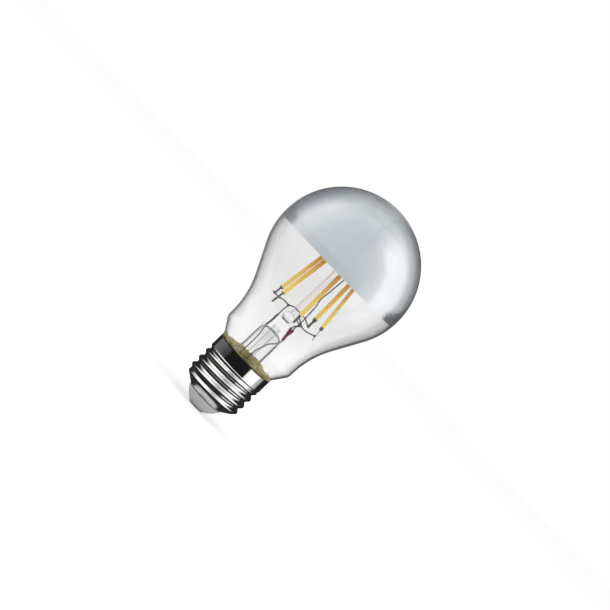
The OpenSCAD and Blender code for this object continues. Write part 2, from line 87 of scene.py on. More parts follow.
def blend(tree, fac, a, b):
    """Mix of two colours; fac, a and b may be sockets."""
    node = tree.nodes.new("ShaderNodeMix")
    node.data_type = "RGBA"
    for slot, value in ((0, fac), (6, a), (7, b)):
        if isinstance(value, tuple):
            node.inputs[slot].default_value = (*value, 1)
        elif isinstance(value, (int, float)):
            node.inputs[slot].default_value = value
        else:
            tree.links.new(value, node.inputs[slot])
    return node.outputs[2]


world = bpy.data.worlds.new("white_room")
scene.world = world
world.use_nodes = True
room = world.node_tree
direction = room.nodes.new("ShaderNodeTexCoord")


def bearing_and_rise(tree, way):
    """A direction's bearing and rise, both from 0 to 1, and its parts."""
    parts = tree.nodes.new("ShaderNodeSeparateXYZ")
    tree.links.new(way, parts.inputs[0])
    x, y, z = parts.outputs
    bearing = calc(tree, "ARCTAN2", x, calc(tree, "MULTIPLY", y, -1.0))
    bearing = calc(tree, "ADD", calc(tree, "DIVIDE", bearing, 2 * math.pi), 0.5)
    rise = calc(tree, "ADD", calc(tree, "DIVIDE", calc(tree, "ARCSINE", z), math.pi), 0.5)
    return bearing, rise, x, y, z


def by_degrees(tree, fac, whole, stops):
    """A ramp over a bearing (whole is 360) or a rise (whole is 180)."""
    return shades(tree, fac, [(degrees / whole + 0.5, grey) for degrees, grey in stops])


def cap_room(tree, way):
    """What the cap mirrors: dark flags low down, and soft boxes above them."""
    bearing, rise, *_ = bearing_and_rise(tree, way)
    low = by_degrees(tree, bearing, 360, [(-180, 0.60), (-168, 0.50), (-156, 0.02), (-127, 0.02), (-121, 0.17), (-96, 0.15), (-54, 0.06), (-47, 0.010), (38, 0.012),
                                          (43, 1.25), (84, 1.35), (92, 0.62), (106, 0.50), (112, 0.02), (156, 0.02), (168, 0.50), (180, 0.60)])
    high = by_degrees(tree, bearing, 360, [(-180, 0.45), (-170, 0.02), (-124, 0.03), (-104, 0.75), (-76, 1.45), (-30, 1.25), (8, 0.72),
                                           (44, 0.95), (70, 1.45), (98, 1.1), (120, 0.03), (170, 0.02), (180, 0.45)])
    return blend(tree, by_degrees(tree, rise, 180, [(-1, 0.0), (7, 1.0)]), low, high)


def silver_room(tree, way):
    """What the crown mirrors: a grey room with a soft box to each side."""
    x, y, z = bearing_and_rise(tree, way)[2:]
    front = calc(tree, "MULTIPLY", y, -1.0)
    spread = calc(tree, "SQRT", calc(tree, "MAXIMUM", calc(tree, "SUBTRACT", 1.0, calc(tree, "MULTIPLY", y, y)), 0.0004))
    side = calc(tree, "DIVIDE", x, spread)
    depth = calc(tree, "ADD", calc(tree, "MULTIPLY", front, 0.5), 0.5)
    middle = shades(tree, depth, [(0.0, (0.36, 0.38, 0.39)), (0.05, (0.48, 0.51, 0.52)), (0.17, (0.62, 0.66, 0.67)), (0.34, (0.80, 0.84, 0.85)), (0.80, (0.70, 0.745, 0.765)), (1.0, (0.68, 0.73, 0.75))])
    left = shades(tree, depth, [(0.0, (0.28, 0.30, 0.31)), (0.08, (0.37, 0.39, 0.41)), (0.17, (0.42, 0.45, 0.47)), (0.25, (0.62, 0.66, 0.68)), (0.42, (1.00, 1.03, 1.04)),
                                (0.62, (0.86, 0.90, 0.91)), (0.72, (0.74, 0.78, 0.80)), (0.84, (0.69, 0.735, 0.755)), (1.0, (0.68, 0.73, 0.75))])
    right = shades(tree, depth, [(0.0, (0.28, 0.30, 0.31)), (0.08, (0.40, 0.43, 0.44)), (0.20, (0.70, 0.73, 0.74)), (0.36, (1.22, 1.23, 1.24)),
                                 (0.66, (1.24, 1.25, 1.26)), (0.72, (0.90, 0.93, 0.94)), (0.84, (0.77, 0.81, 0.82)), (0.98, (0.69, 0.735, 0.755)), (1.0, (0.68, 0.73, 0.75))])
    side = calc(tree, "ADD", calc(tree, "MULTIPLY", side, 0.5), 0.5)
    rightward = shades(tree, side, [(0.0, 0.0), (0.42, 0.0), (0.58, 1.0)])
    lit = shades(tree, side, [(0.0, 1.0), (0.07, 1.0), (0.31, 0.0), (0.52, 0.0), (0.80, 1.0)])
    pattern = blend(tree, lit, middle, blend(tree, rightward, left, right))
    height = shades(tree, calc(tree, "ADD", calc(tree, "MULTIPLY", z, 0.5), 0.5), [(0.0, 0.0), (0.502, 0.0), (0.555, 1.0)])
    edge = calc(tree, "SUBTRACT", -0.22, calc(tree, "MULTIPLY", height, 0.70))
    corner_dark = shades(tree, calc(tree, "DIVIDE", calc(tree, "SUBTRACT", edge, front), 0.26), [(0.0, 0.0), (1.0, 1.0)])
    return blend(tree, corner_dark, pattern, blend(tree, rightward, (0.36, 0.37, 0.38), (0.18, 0.185, 0.19)))


path = room.nodes.new("ShaderNodeLightPath")
mirrored = calc(room, "GREATER_THAN", path.outputs["Glossy Depth"], 0.5)
in_silver = calc(room, "MULTIPLY", mirrored, path.outputs["Is Transmission Ray"])
seen = calc(room, "MAXIMUM", path.outputs["Is Camera Ray"], path.outputs["Is Transmission Ray"])
way = direction.outputs["Generated"]
view = blend(room, seen, (0.62, 0.62, 0.62), (1.0, 1.0, 1.0))
in_cap = calc(room, "MULTIPLY", path.outputs["Is Glossy Ray"], calc(room, "SUBTRACT", 1.0, path.outputs["Is Transmission Ray"]))
view = blend(room, in_cap, view, cap_room(room, way))
view = blend(room, in_silver, view, silver_room(room, way))
room.links.new(view, room.nodes["Background"].inputs["Color"])


def soft_box(name, place, size, power):
    """A soft box aimed at the lamp; the room already shows it in the metal."""
    lamp = bpy.data.lights.new(name, "AREA")
    lamp.shape = "RECTANGLE"
    lamp.size, lamp.size_y = size
    lamp.energy = power
    holder = bpy.data.objects.new(name, lamp)
    holder.location = place
    holder.rotation_euler = (Vector((0, 0, 0.06)) - Vector(place)).to_track_quat("-Z", "Y").to_euler()
    holder.visible_glossy = False
    holder.visible_transmission = False
    scene.collection.objects.link(holder)


soft_box("soft_box_right", (0.62, -0.42, 0.30), (0.50, 0.75), 2.0)
soft_box("soft_box_left", (-0.78, -0.05, 0.20), (0.42, 0.60), 1.5)
soft_box("soft_box_above", (0.0, -0.20, 0.90), (0.60, 0.60), 1.6)


floor_mesh = bpy.data.meshes.new("floor")
floor_mesh.from_pydata([(2.0 * math.cos(math.tau * k / 96), 2.0 * math.sin(math.tau * k / 96), -0.00005) for k in range(96)],
                       [], [tuple(range(96))])
floor = bpy.data.objects.new("floor", floor_mesh)
scene.collection.objects.link(floor)
floor_paint = bpy.data.materials.new("pale_floor")
floor_paint.use_nodes = True
tree = floor_paint.node_tree
shade = tree.nodes["Principled BSDF"]
shade.inputs["Roughness"].default_value = 0.9
shade.inputs["Specular IOR Level"].default_value = 0.0
path = tree.nodes.new("ShaderNodeLightPath")
mirrored = calc(tree, "GREATER_THAN", path.outputs["Glossy Depth"], 0.5)
in_silver = calc(tree, "MULTIPLY", mirrored, path.outputs["Is Transmission Ray"])
seen = calc(tree, "MAXIMUM", path.outputs["Is Camera Ray"], path.outputs["Is Transmission Ray"])
in_cap = calc(tree, "MULTIPLY", path.outputs["Is Glossy Ray"], calc(tree, "SUBTRACT", 1.0, path.outputs["Is Transmission Ray"]))
place = tree.nodes.new("ShaderNodeTexCoord")


def from_lamp(height):
    """The direction from a point of the lamp's axis to the place on the floor."""
    shift = tree.nodes.new("ShaderNodeVectorMath")
    shift.operation = "SUBTRACT"
    shift.inputs[1].default_value = (0.0, 0.0, height)
    tree.links.new(place.outputs["Object"], shift.inputs[0])
    unit = tree.nodes.new("ShaderNodeVectorMath")
    unit.operation = "NORMALIZE"
    tree.links.new(shift.outputs[0], unit.inputs[0])
    return unit.outputs[0]


reach = tree.nodes.new("ShaderNodeVectorMath")
reach.operation = "LENGTH"
tree.links.new(place.outputs["Object"], reach.inputs[0])
span = calc(tree, "DIVIDE", reach.outputs["Value"], 0.2)
under = shades(tree, span, [(0.0, 0.12), (0.0265, 0.12), (0.031, 0.70), (0.0375, 0.62), (0.044, 0.03), (1.0, 0.02)])
under = blend(tree, shades(tree, span, [(0.35, 0.0), (0.75, 1.0)]), under, cap_room(tree, from_lamp(0.02)))
glow = blend(tree, in_cap, (0.42, 0.42, 0.42), under)
glow = blend(tree, in_silver, glow, silver_room(tree, from_lamp(0.07)))
shown = calc(tree, "MAXIMUM", seen, in_cap)
tree.links.new(glow, shade.inputs["Emission Color"])
tree.links.new(shown, shade.inputs["Emission Strength"])
apart = calc(tree, "MAXIMUM", in_cap, in_silver)
tree.links.new(blend(tree, apart, (0.88, 0.88, 0.88), (0.0, 0.0, 0.0)), shade.inputs["Base Color"])
floor_mesh.materials.append(floor_paint)

# The globe is blown from clear soda glass in one piece, 60 mm across, with its foot melted onto the stem. Its wall is
# 0.7 mm, and the dark line at its edges is painted shade that darkens the glass's colour towards its edge.
MM = 0.001
globe_r, neck_r, throat_r, shoulder_r, foot_r = 30.0, 16.65, 36.0, 3.9, 10.75
taper, shoulder_slope, glass_wall = 27.5, 34.0, 0.7
cap_h = 26.8
foot_z = cap_h - 2.2


def sine(angle):
    return math.sin(math.radians(angle))


def cosine(angle):
    return math.cos(math.radians(angle))


shoulder_z = foot_z + (neck_r - shoulder_r * (1 - cosine(shoulder_slope)) - foot_r) / math.tan(math.radians(shoulder_slope))
neck_z = shoulder_z + shoulder_r * sine(shoulder_slope)
throat_z = neck_z + 0.7
globe_z = throat_z + (throat_r * (1 - cosine(taper)) + globe_r - neck_r * cosine(taper)) / sine(taper)


def arc(cx, cz, r, start, end, steps):
    """Points round an arc; an end at 90 degrees is closed on the axis."""
    line = [(cx + r * cosine(start + (end - start) * i / steps), cz + r * sine(start + (end - start) * i / steps))
            for i in range(steps + 1)]
    return [(0.0 if abs(x) < 1e-6 else x, z) for x, z in line]


def glass_line(inset):
    return ([(foot_r - inset / cosine(shoulder_slope), foot_z)]
            + arc(neck_r - shoulder_r, neck_z, shoulder_r - inset, -shoulder_slope, 0, 14)
            + arc(neck_r + throat_r, throat_z, throat_r + inset, 180, 180 - taper, 28)
            + arc(0, globe_z, globe_r - inset, -taper, 90, 100))


def rings_mesh(name, rows, material, angle=35):
    """A closed skin through rings of points in mm; a ring of one point is a pole."""
    points, index, faces = [], [], []
    for row in rows:
        index.append(list(range(len(points), len(points) + len(row))))
        points += [(x * MM, y * MM, z * MM) for x, y, z in row]
    for low, high in zip(index, index[1:] + index[:1]):
        count = max(len(low), len(high))
        for k in range(count):
            corner = (low[k % len(low)], low[(k + 1) % len(low)], high[(k + 1) % len(high)], high[k % len(high)])
            corner = list(dict.fromkeys(corner))
            if len(corner) > 2:
                faces.append(corner)
    mesh = bpy.data.meshes.new(name)
    mesh.from_pydata(points, [], faces)
    work = bmesh.new()
    work.from_mesh(mesh)
    bmesh.ops.recalc_face_normals(work, faces=work.faces)
    work.to_mesh(mesh)
    work.free()
    mesh.shade_smooth()
    mesh.set_sharp_from_angle(angle=math.radians(angle))
    mesh.materials.append(material)
    piece = bpy.data.objects.new(name, mesh)
    scene.collection.objects.link(piece)
    return piece


def ring(r, z, steps):
    if r < 1e-6:
        return [(0.0, 0.0, z)]
    return [(r * math.cos(math.tau * k / steps), r * math.sin(math.tau * k / steps), z) for k in range(steps)]


def lathe(name, line, material, steps=192, angle=35):
    return rings_mesh(name, [ring(r, z, steps) for r, z in line], material, angle)


def new_finish(name):
    material = bpy.data.materials.new(name)
    material.use_nodes = True
    return material, material.node_tree, material.node_tree.nodes["Principled BSDF"]


def new_effect(name, inputs, outputs):
    """An empty shader node group with named sockets."""
    group = bpy.data.node_groups.new(name, "ShaderNodeTree")
    for label, value in inputs:
        group.interface.new_socket(label, in_out="INPUT", socket_type="NodeSocketFloat").default_value = value
    for label, kind in outputs:
        group.interface.new_socket(label, in_out="OUTPUT", socket_type=kind)
    return group, group.nodes.new("NodeGroupInput"), group.nodes.new("NodeGroupOutput")


grain, enter, leave = new_effect("fine_grain", [("Scale", 2000.0), ("Detail", 3.0), ("Low", 0.0), ("High", 1.0)],
                                 [("Value", "NodeSocketFloat")])
place = grain.nodes.new("ShaderNodeTexCoord")
noise = grain.nodes.new("ShaderNodeTexNoise")
grain.links.new(place.outputs["Object"], noise.inputs["Vector"])
grain.links.new(enter.outputs["Scale"], noise.inputs["Scale"])
grain.links.new(enter.outputs["Detail"], noise.inputs["Detail"])
stretch = grain.nodes.new("ShaderNodeMapRange")
stretch.inputs["From Min"].default_value = 0.3
stretch.inputs["From Max"].default_value = 0.7
grain.links.new(noise.outputs["Fac"], stretch.inputs["Value"])
grain.links.new(enter.outputs["Low"], stretch.inputs["To Min"])
grain.links.new(enter.outputs["High"], stretch.inputs["To Max"])
grain.links.new(stretch.outputs[0], leave.inputs["Value"])


def grained(tree, scale, low, high, detail=3.0):
    node = tree.nodes.new("ShaderNodeGroup")
    node.node_tree = grain
    for label, value in (("Scale", scale), ("Detail", detail), ("Low", low), ("High", high)):
        node.inputs[label].default_value = value
    return node.outputs["Value"]


def bumped(tree, shade, height, distance, strength=1.0):
    node = tree.nodes.new("ShaderNodeBump")
    node.inputs["Strength"].default_value = strength
    node.inputs["Distance"].default_value = distance
    tree.links.new(height, node.inputs["Height"])
    tree.links.new(node.outputs["Normal"], shade.inputs["Normal"])


def clear_glass(name, face_on, near_edge, edge, waves, index=1.5, drawn=0.25):
    """Clear glass with painted shade darkening its colour towards its edge, faintly drawn, and open to the lamps' rays.
    """
    material, tree, shade = new_finish(name)
    shade.inputs["Metallic"].default_value = 0.0
    shade.inputs["Transmission Weight"].default_value = 1.0
    shade.inputs["IOR"].default_value = index
    shade.inputs["Roughness"].default_value = 0.0
    facing = tree.nodes.new("ShaderNodeLayerWeight")
    facing.inputs["Blend"].default_value = 0.5
    # Painted shade: the glass's colour darkens towards its edge as the surface turns away from view.
    painted_edge_shade = shades(tree, facing.outputs["Facing"], [(0.0, face_on), (0.55, face_on), (0.82, near_edge), (1.0, edge)], "LINEAR")
    tree.links.new(painted_edge_shade, shade.inputs["Base Color"])
    bumped(tree, shade, grained(tree, waves, 0.0, 1.0, 1.0), 0.00004, drawn)
    path = tree.nodes.new("ShaderNodeLightPath")
    through = tree.nodes.new("ShaderNodeBsdfTransparent")
    through.inputs["Color"].default_value = (0.98, 0.98, 0.98, 1)
    mix = tree.nodes.new("ShaderNodeMixShader")
    tree.links.new(path.outputs["Is Shadow Ray"], mix.inputs[0])
    tree.links.new(shade.outputs[0], mix.inputs[1])
    tree.links.new(through.outputs[0], mix.inputs[2])
    tree.links.new(mix.outputs[0], tree.nodes["Material Output"].inputs["Surface"])
    return material


globe_glass = clear_glass("globe_glass", (0.935, 0.933, 0.933), (0.86, 0.86, 0.865), (0.42, 0.43, 0.44), 55.0)
globe = lathe("globe_glass", glass_line(0.0) + glass_line(glass_wall)[::-1], globe_glass)
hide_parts("glass_envelope")
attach(globe, "root")

# The crown is silvered on the inside: a thin bright metal film laid on the glass
# from a square edge just below the widest line up to the top. It is satin.
silver_coat, tree, shade = new_finish("silver_coat")
shade.inputs["Metallic"].default_value = 1.0
tree.links.new(blend(tree, grained(tree, 180.0, 0.0, 1.0), (0.84, 0.855, 0.88), (0.88, 0.893, 0.915)), shade.inputs["Base Color"])
tree.links.new(grained(tree, 420.0, 0.17, 0.23), shade.inputs["Roughness"])
bumped(tree, shade, grained(tree, 900.0, 0.0, 1.0), 0.00001, 0.05)
coat_r = globe_r - glass_wall - 0.05
silver_edge = -math.degrees(math.asin(2.4 / coat_r))
silver = lathe("silver_crown", arc(0, globe_z, coat_r, silver_edge, 90, 90) + arc(0, globe_z, coat_r - 0.12, silver_edge, 90, 90)[::-1],
               silver_coat)
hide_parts("mirror_crown")
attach(silver, "root")

# The stem is a tube of the same glass, flared at its foot and squeezed flat at
# its top while it is soft, so that it seals round its wires.
stem_glass = clear_glass("stem_glass", (0.97, 0.97, 0.972), (0.89, 0.89, 0.892), (0.56, 0.56, 0.565), 120.0, 1.15, 0.05)
bead_glass = clear_glass("bead_glass", (0.96, 0.96, 0.962), (0.62, 0.62, 0.62), (0.06, 0.06, 0.062), 300.0, 1.5, 0.4)
tree = bead_glass.node_tree
shade = tree.nodes["Principled BSDF"]
place, parts = tree.nodes.new("ShaderNodeTexCoord"), tree.nodes.new("ShaderNodeSeparateXYZ")
tree.links.new(place.outputs["Object"], parts.inputs[0])
# Painted shade: the bead's lowest part is darkened, standing in for the dark outline along its lower edge.
painted_low_shade = shades(tree, calc(tree, "DIVIDE", parts.outputs["Z"], 0.06), [(0.0, 1.0), (0.798, 1.0), (0.806, 0.0)])
tree.links.new(blend(tree, painted_low_shade, shade.inputs["Base Color"].links[0].from_socket, (0.12, 0.12, 0.12)), shade.inputs["Base Color"])
stem_r, stem_wall, stem_top_z, rim_t, flare_h = 5.25, 0.8, 43.2, 1.0, 4.6
press_w, press_t, press_h = 11.4, 4.0, 4.0
flare_r = foot_r - glass_wall / cosine(shoulder_slope) - 0.05
press_z = stem_top_z - rim_t
press_top = stem_top_z + press_h


def oval(wide, deep, z, steps=96):
    """A ring that goes from round to a flat-sided oval."""
    power = 2.0 + 1.2 * (1 - deep / wide)
    points = []
    for k in range(steps):
        c, s = math.cos(math.tau * k / steps), math.sin(math.tau * k / steps)
        points.append((wide * math.copysign(abs(c) ** (2 / power), c), deep * math.copysign(abs(s) ** (2 / power), s), z))
    return points


def flare_line(inset):
    return [(stem_r - inset + (flare_r - stem_r) * (1 - sine(i * 90 / 20)), foot_z + rim_t + flare_h * (1 - cosine(i * 90 / 20)))
            for i in range(21)]


rows = [oval(flare_r, flare_r, foot_z)] + [oval(r, r, z) for r, z in flare_line(0)]
squeeze = [(0.0, 40.6), (0.04, 41.1), (0.15, 41.7), (0.33, 42.3), (0.55, 42.95), (0.76, 43.6), (0.92, 44.2), (1.0, 45.0)]
rows += [oval(stem_r + (press_w / 2 - stem_r) * w, stem_r + (press_t / 2 - stem_r) * w, z) for w, z in squeeze]
rows += [oval(press_w / 2 - drop, press_t / 2 - drop / 2, press_top - low) for drop, low in ((0.12, 1.5), (0.45, 0.8), (1.0, 0.32), (1.8, 0.06), (2.6, 0.0))]
rows += [[(0, 0, press_top)]]
rows += [[(0, 0, press_z - 1.0)]] + [oval(w, d, press_z - low) for w, d, low in ((1.8, 1.2, 1.02), (3.1, 2.1, 1.2), (3.9, 3.0, 1.8), (4.25, 3.7, 3.0), (4.4, 4.2, 4.6))]
rows += [oval(stem_r - stem_wall, stem_r - stem_wall, press_z - 8)]
rows += [oval(r, r, z - rim_t) for r, z in flare_line(stem_wall)[::-1]] + [oval(flare_r - stem_wall, flare_r - stem_wall, foot_z)]
stem = rings_mesh("stem", rows, stem_glass, 60)
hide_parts("stem_flare")
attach(stem, "root")

exhaust = lathe("pumping_tube", [(0.0, 23.4)] + arc(0.35, 25.3, 1.5, -75, 0, 8) + [(1.85, 30), (1.85, press_z + 0.5), (1.15, press_z + 0.5),
                (1.15, 30), (1.15, 26.2)] + arc(0.3, 25.9, 0.85, 0, -75, 6) + [(0.0, 24.95)], stem_glass, 64, 60)
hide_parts("exhaust_tube")
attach(exhaust, "root")

strip_len, strip_z, strip_foot_r, strip_head_r, ring_shift = 38.0, 54.4, 12.2, 6.5, 0.9
head_z = strip_z + math.sqrt(strip_len ** 2 - (strip_foot_r - strip_head_r) ** 2)
ring_z = head_z + 1.5
bead_r, bead_flat, rod_r, top_bead_r = 2.3, 1.4, 0.9, 1.5
bead_z = press_top + 0.05 + math.sqrt(bead_r ** 2 - bead_flat ** 2)
rod = lathe("centre_rod", [(0.0, press_top + 0.05)]
            + arc(0, bead_z, bead_r, -math.degrees(math.acos(bead_flat / bead_r)), math.degrees(math.acos(rod_r / bead_r)), 24)
            + [(rod_r, bead_z + 4), (rod_r, ring_z - 4)]
            + arc(0, ring_z, top_bead_r, -math.degrees(math.acos(rod_r / top_bead_r)), 90, 20), bead_glass, 64, 60)
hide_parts("centre_rod")
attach(rod, "root")

# The mount wires are drawn from nickel-plated steel, 0.5 mm thick, cut and bent
# in small pliers and spot welded, which has left them dark. One ring joins the tops.
wire_r, seat, corner = 0.25, 0.05, 1.2
left_seal_x, right_seal_x = 3.5, 4.3
foot_bearings = (146, 229.9, 282.6, 49.2, 349, 77)
head_bearings = (162, 226, 279.4, 29, 343.4, 80)
tab_t, tab_drop = 0.25, 2.9
strip_low = (0, 0, 1.3, 0, 0, 0)
weld_drop = (tab_drop, 0.7 * tab_drop, tab_drop - 1.3, tab_drop, tab_drop, tab_drop)


def strip_foot(i):
    return Vector((strip_foot_r * cosine(foot_bearings[i]), strip_foot_r * sine(foot_bearings[i]), strip_z - strip_low[i]))


def strip_way(i):
    head = Vector((ring_shift + strip_head_r * cosine(head_bearings[i]), strip_head_r * sine(head_bearings[i]), head_z - strip_low[i]))
    return head - strip_foot(i)


def strip_turns(i):
    """How far a strip leans, and the bearing that it leans to."""
    run = strip_way(i)
    return math.acos(run.z / run.length), math.atan2(run.y, run.x)


def beside(i, sideways=0.0):
    """A point of the wire that crosses a strip's lower tab."""
    lean, turn = strip_turns(i)
    inward = Vector((math.cos(lean) * math.cos(turn), math.cos(lean) * math.sin(turn), -math.sin(lean)))
    return (strip_foot(i) + (tab_t / 2 + 2 * seat + wire_r) * inward - weld_drop[i] * strip_way(i).normalized()
            + sideways * Vector((-math.sin(turn), math.cos(turn), 0)))


def bent(points, steps=8):
    """The wire's path, with each corner turned in a short curve."""
    points = [Vector(p) for p in points]
    line = [points[0]]
    for before, here, after in zip(points, points[1:], points[2:]):
        back, on = before - here, after - here
        d = min(corner, 0.45 * back.length, 0.45 * on.length)
        line += [here + (1 - u / steps) ** 2 * d * back.normalized() + (u / steps) ** 2 * d * on.normalized() for u in range(steps + 1)]
    return line + [points[-1]]


drawn = bpy.data.node_groups.new("drawn_wire", "GeometryNodeTree")
drawn.interface.new_socket("Geometry", in_out="INPUT", socket_type="NodeSocketGeometry")
drawn.interface.new_socket("Wire radius", in_out="INPUT", socket_type="NodeSocketFloat").default_value = wire_r * MM
drawn.interface.new_socket("Sides", in_out="INPUT", socket_type="NodeSocketInt").default_value = 16
drawn.interface.new_socket("Metal", in_out="INPUT", socket_type="NodeSocketMaterial")
drawn.interface.new_socket("Geometry", in_out="OUTPUT", socket_type="NodeSocketGeometry")
enter, leave = drawn.nodes.new("NodeGroupInput"), drawn.nodes.new("NodeGroupOutput")
section = drawn.nodes.new("GeometryNodeCurvePrimitiveCircle")
sweep = drawn.nodes.new("GeometryNodeCurveToMesh")
sweep.inputs["Fill Caps"].default_value = True
real = drawn.nodes.new("GeometryNodeRealizeInstances")
coat = drawn.nodes.new("GeometryNodeSetMaterial")
drawn.links.new(enter.outputs["Wire radius"], section.inputs["Radius"])
drawn.links.new(enter.outputs["Sides"], section.inputs["Resolution"])
drawn.links.new(enter.outputs["Geometry"], sweep.inputs["Curve"])
drawn.links.new(section.outputs["Curve"], sweep.inputs["Profile Curve"])
drawn.links.new(sweep.outputs["Mesh"], real.inputs[0])
drawn.links.new(real.outputs[0], coat.inputs["Geometry"])
drawn.links.new(enter.outputs["Metal"], coat.inputs["Material"])
drawn.links.new(coat.outputs[0], leave.inputs["Geometry"])


def settle(source, name, tree, values, angle=35):
    """Runs a node tree on a source object and keeps the result as a plain mesh piece."""
    modifier = source.modifiers.new(tree.name, "NODES")
    modifier.node_group = tree
    for item in tree.interface.items_tree:
        if item.in_out == "INPUT" and item.name in values:
            modifier[item.identifier] = values[item.name]
    bpy.context.view_layer.update()
    mesh = bpy.data.meshes.new_from_object(source.evaluated_get(bpy.context.evaluated_depsgraph_get()))
    mesh.name = name
    bpy.data.objects.remove(source)
    mesh.shade_smooth()
    mesh.set_sharp_from_angle(angle=math.radians(angle))
    piece = bpy.data.objects.new(name, mesh)
    scene.collection.objects.link(piece)
    return piece


def wire(name, lines, node, material, radius=wire_r):
    """A wire, or several joined, swept along its path. A closed path is given as (points, True)."""
    curve = bpy.data.curves.new(name, "CURVE")
    curve.dimensions = "3D"
    for line, closed in lines:
        spline = curve.splines.new("POLY")
        spline.points.add(len(line) - 1)
        for point, where in zip(spline.points, line):
            point.co = (where[0] * MM, where[1] * MM, where[2] * MM, 1)
        spline.use_cyclic_u = closed
    source = bpy.data.objects.new(name + "_path", curve)
    scene.collection.objects.link(source)
    piece = settle(source, name, drawn, {"Wire radius": radius * MM, "Metal": material})
    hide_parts(node)
    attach(piece, "root")
    return piece


dark_wire, tree, shade = new_finish("dark_nickel")
shade.inputs["Metallic"].default_value = 1.0
tree.links.new(blend(tree, grained(tree, 900.0, 0.0, 1.0), (0.10, 0.10, 0.10), (0.24, 0.235, 0.22)), shade.inputs["Base Color"])
tree.links.new(grained(tree, 2500.0, 0.32, 0.5), shade.inputs["Roughness"])
bumped(tree, shade, grained(tree, 6000.0, 0.0, 1.0), 0.00002, 0.3)

left_knot = Vector((wire_r - left_seal_x, -0.066 * strip_foot_r, strip_z - 0.655 * tab_drop))
right_knot = Vector((right_seal_x + 0.082 * strip_foot_r, -0.328 * strip_foot_r, strip_z - 1.345 * tab_drop))


def span_at(x, y, fall, start=0.0):
    """A point of the mount, in shares of the strips' circle and of a tab's length."""
    return (start + x * strip_foot_r, y * strip_foot_r, strip_z - fall * tab_drop)


wire("back_cross_wire", [(bent([beside(0, 0.6), beside(0, -0.7), span_at(-0.92, 0, 0.862), beside(1, -0.7), beside(1, 0.7),
                                span_at(-0.46, -0.36, 0.552), left_knot, span_at(-0.098, 0.23, 0.345), span_at(0.098, 0.295, 0.345),
                                span_at(0.41, 0.574, 0.483), beside(3)]), False)], "back_cross_wire", dark_wire)
wire("front_cross_wire", [(bent([beside(2), span_at(0, -0.656, 1.207, right_seal_x), right_knot, span_at(0.328, -0.279, 1.414, right_seal_x),
                                 beside(4)]), False)], "front_cross_wire", dark_wire)
wire("front_branch_wire", [(bent([right_knot + Vector((2 * wire_r, 2 * wire_r + 3 * seat, 2 * seat)), span_at(0.172, 0, 1.448, right_seal_x),
                                  span_at(0.131, 0.492, 1.448, right_seal_x), beside(5)]), False)], "front_branch_wire", dark_wire)
wire("left_lead", [(bent([(-left_seal_x, 0, press_top - 1.2), (-left_seal_x, -4 * seat, left_knot.z - 0.759 * tab_drop),
                          left_knot + Vector((0, 0, 0.05 - 2 * wire_r))]), False)], "left_lead", dark_wire)
wire("right_lead", [(bent([(right_seal_x - 0.4, -0.3, press_top - 1.2), (right_seal_x - 0.4, -0.8, press_top + 1),
                           right_knot + Vector((-0.2, 0.4, -seat - 2 * wire_r))]), False)], "right_lead", dark_wire)
ring_r = strip_head_r - 0.15 * 1.5 - tab_t / 2 - wire_r - 5 * seat
riser_y = 1.5
wire("riser_wire", [(bent([(right_seal_x + 0.4, 0.3, press_top - 1.2), (right_seal_x + 0.6, riser_y - 4 * seat, strip_z - 0.69 * tab_drop)]
                          + [(right_seal_x + x, riser_y, strip_z + up * strip_len) for x, up in ((0.1, 0.14), (-0.7, 0.208), (-0.3, 0.316), (0.2, 0.521))]
                          + [(ring_shift + math.sqrt(ring_r ** 2 - riser_y ** 2), riser_y, ring_z - 2 * wire_r - seat)]), False)],
     "riser_wire", dark_wire)
wire("top_ring", [([(ring_shift + ring_r * math.cos(math.tau * k / 64), ring_r * math.sin(math.tau * k / 64), ring_z) for k in range(64)], True),
                  ([(ring_shift - ring_r, 0, ring_z), (0, 0, ring_z), (ring_shift + ring_r, 0, ring_z)], False)],
     "top_ring", dark_wire)

# The seals are short bits of copper-clad wire fused in the pressed glass, dark
# with oxide, the right one red. That one takes two wires, so it is wider and forked.
seal_red, tree, shade = new_finish("seal_oxide")
tree.links.new(blend(tree, grained(tree, 1400.0, 0.0, 1.0), (0.11, 0.010, 0.016), (0.27, 0.04, 0.055)), shade.inputs["Base Color"])
tree.links.new(grained(tree, 3000.0, 0.35, 0.6), shade.inputs["Roughness"])
wire("left_seal", [([(-left_seal_x, 0, press_z - rim_t + seat), (-left_seal_x, 0, 44.6), (-left_seal_x, 0, press_top - seat)], False)],
     "left_seal", dark_wire, 0.40)
wire("right_seal", [([(right_seal_x, 0, press_z - rim_t + seat), (right_seal_x, 0, 44), (right_seal_x - 0.62, -0.2, press_top - seat)], False),
                    ([(right_seal_x, 0, press_z - rim_t + 0.4), (right_seal_x + 0.1, 0, 44), (right_seal_x + 0.7, 0.3, press_top - seat)], False)],
     "right_seal", seal_red, 0.52)

# The feed wires are tinned copper. They leave the seals, run down the tube of
# the stem beside the pumping tube, and are soldered to the driver board.
feed_metal, tree, shade = new_finish("tinned_copper")
shade.inputs["Metallic"].default_value = 1.0
tree.links.new(blend(tree, grained(tree, 1100.0, 0.0, 1.0), (0.20, 0.17, 0.16), (0.38, 0.33, 0.31)), shade.inputs["Base Color"])
tree.links.new(grained(tree, 3000.0, 0.28, 0.45), shade.inputs["Roughness"])
board_w, board_h, board_t, board_top = 15.0, 11.5, 1.0, 21.6
board_z, face_y = board_top - board_h, board_t / 2 + seat
left_feed_x, tube_len = 0.105 * stem_r - left_seal_x, press_z - foot_z


def in_tube(x, y, fall):
    """A point of the right feed wire, in shares of the stem's radius and length."""
    return (right_seal_x - x * stem_r, -y * stem_r, press_z - fall * tube_len)


